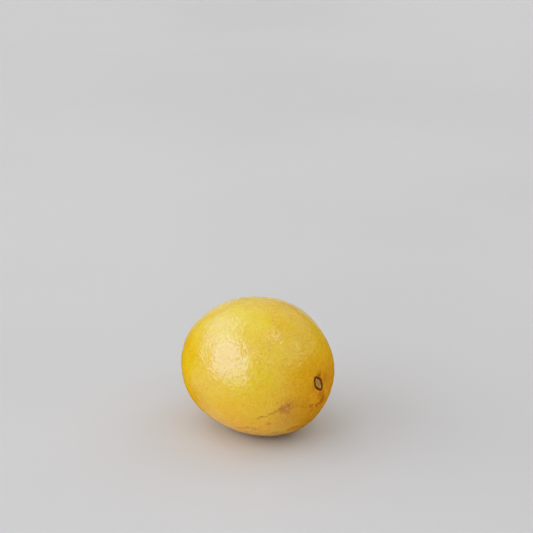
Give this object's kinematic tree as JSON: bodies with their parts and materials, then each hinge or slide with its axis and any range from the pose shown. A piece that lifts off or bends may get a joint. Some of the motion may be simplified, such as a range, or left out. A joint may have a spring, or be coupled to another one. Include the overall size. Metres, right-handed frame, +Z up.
{
  "type": "lemon",
  "caption": "Whole ripe lemon lying on its side, egg-shaped, with a blunt nipple at one end and a woody stalk button at the other.",
  "frame": {"origin": "on the ground, under the middle of the lemon's bounding box", "axes": "+X along the lemon's long axis towards the stalk end, +Z up, +Y across the lemon"},
  "size_m": [0.0772, 0.061, 0.0606],
  "materials": {
    "lemon_peel": "waxy pitted citrus rind, bright yellow, with a few thin brown scuffs",
    "dry_stalk": "dry, dark brown at the rim and pale tan in the middle"
  },
  "bodies": {
    "root": {"lemon_fruit": "lemon_peel", "stem_button": "dry_stalk"}
  },
  "joints": []
}
